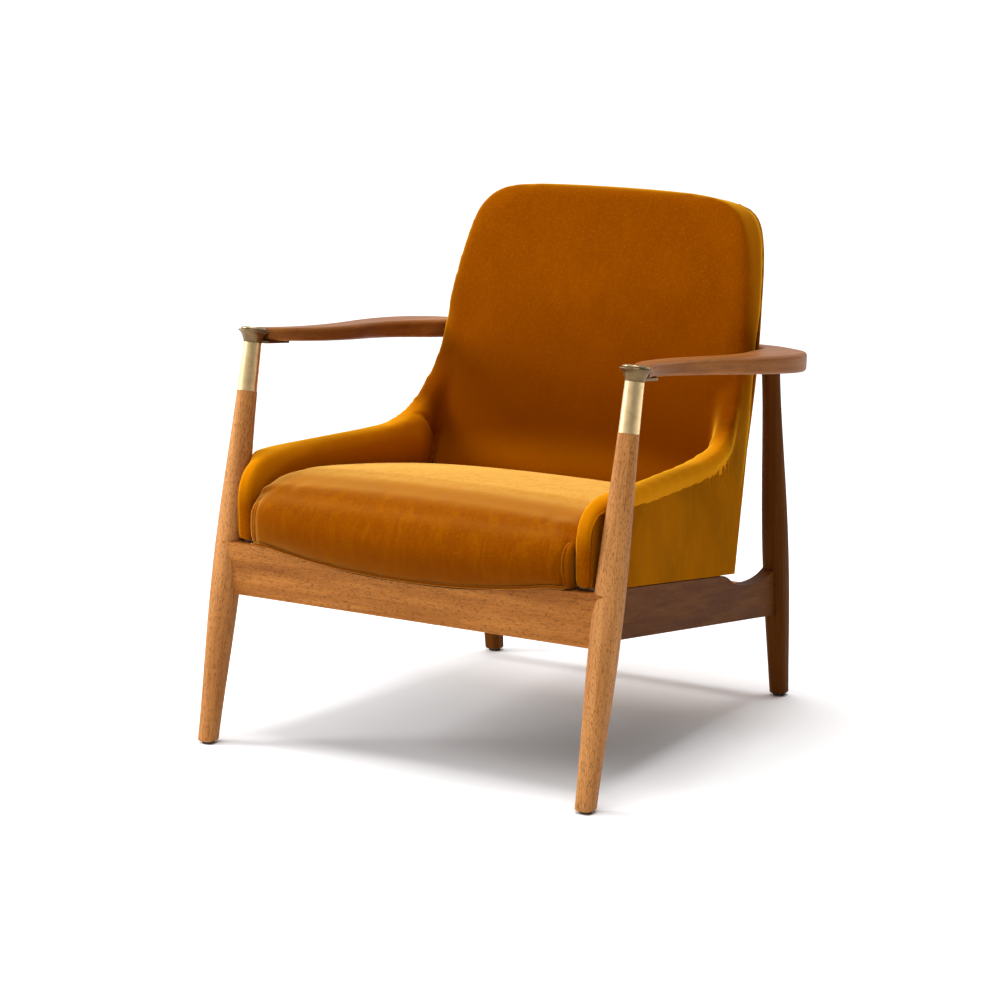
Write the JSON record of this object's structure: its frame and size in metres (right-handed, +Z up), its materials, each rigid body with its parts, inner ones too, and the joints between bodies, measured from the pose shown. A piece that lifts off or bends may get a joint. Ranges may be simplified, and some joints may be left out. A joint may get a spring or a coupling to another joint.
{
  "type": "armchair",
  "caption": "Lounge armchair with a raked wooden frame, brass arm sockets, sculpted wooden arms and a velvet upholstered shell with low wings.",
  "frame": {"origin": "on the floor, midway between the four feet", "axes": "+Z up, the front of the chair faces -Y, +X is on the right of someone who looks at the front"},
  "size_m": [0.7214, 0.7154, 0.7787],
  "materials": {
    "frame_wood": "satin, open pores",
    "arm_wood": "satin, smooth",
    "inner_wood": "raw",
    "velvet": "cut pile velvet over foam",
    "brass": "satin, antique",
    "steel": "zinc plated",
    "black_plastic": "matte",
    "webbing": "woven elastic",
    "dust_cloth": "non-woven cloth"
  },
  "bodies": {
    "root": {"front_apron": "frame_wood", "rear_rail": "frame_wood", "cross_rail": "frame_wood", "cup_studs": "steel", "tongue_screws": "steel", "back_screws": "steel", "deck_front_bar": "inner_wood", "deck_rear_bar": "inner_wood", "webbing_crossways": "webbing", "webbing_lengthways": "webbing", "outside_back_panel": "velvet", "back_board": "inner_wood", "back_pad": "velvet", "seat_cushion": "velvet", "dust_cover": "dust_cloth", "shell_bolts": "steel", "shell_washers": "steel", "shell_t_nuts": "steel", "corner_block_screws": "steel", "glide_nails": "steel", "front_leg_left": "frame_wood", "front_leg_right": "frame_wood", "rear_leg_left": "frame_wood", "rear_leg_right": "frame_wood", "side_rail_left": "frame_wood", "side_rail_right": "frame_wood", "brass_sleeve_left": "brass", "brass_sleeve_right": "brass", "brass_cup_left": "brass", "brass_cup_right": "brass", "brass_cap_left": "brass", "brass_cap_right": "brass", "arm_left": "arm_wood", "arm_right": "arm_wood", "deck_side_bar_left": "inner_wood", "deck_side_bar_right": "inner_wood", "wing_board_left": "inner_wood", "wing_board_right": "inner_wood", "wing_pad_left": "velvet", "wing_pad_right": "velvet", "outside_side_panel_left": "velvet", "outside_side_panel_right": "velvet", "back_spacer_left": "black_plastic", "back_spacer_right": "black_plastic", "corner_block_front_left": "inner_wood", "corner_block_front_right": "inner_wood", "corner_block_rear_left": "inner_wood", "corner_block_rear_right": "inner_wood", "glide_front_left": "black_plastic", "glide_front_right": "black_plastic", "glide_rear_left": "black_plastic", "glide_rear_right": "black_plastic"}
  },
  "joints": []
}
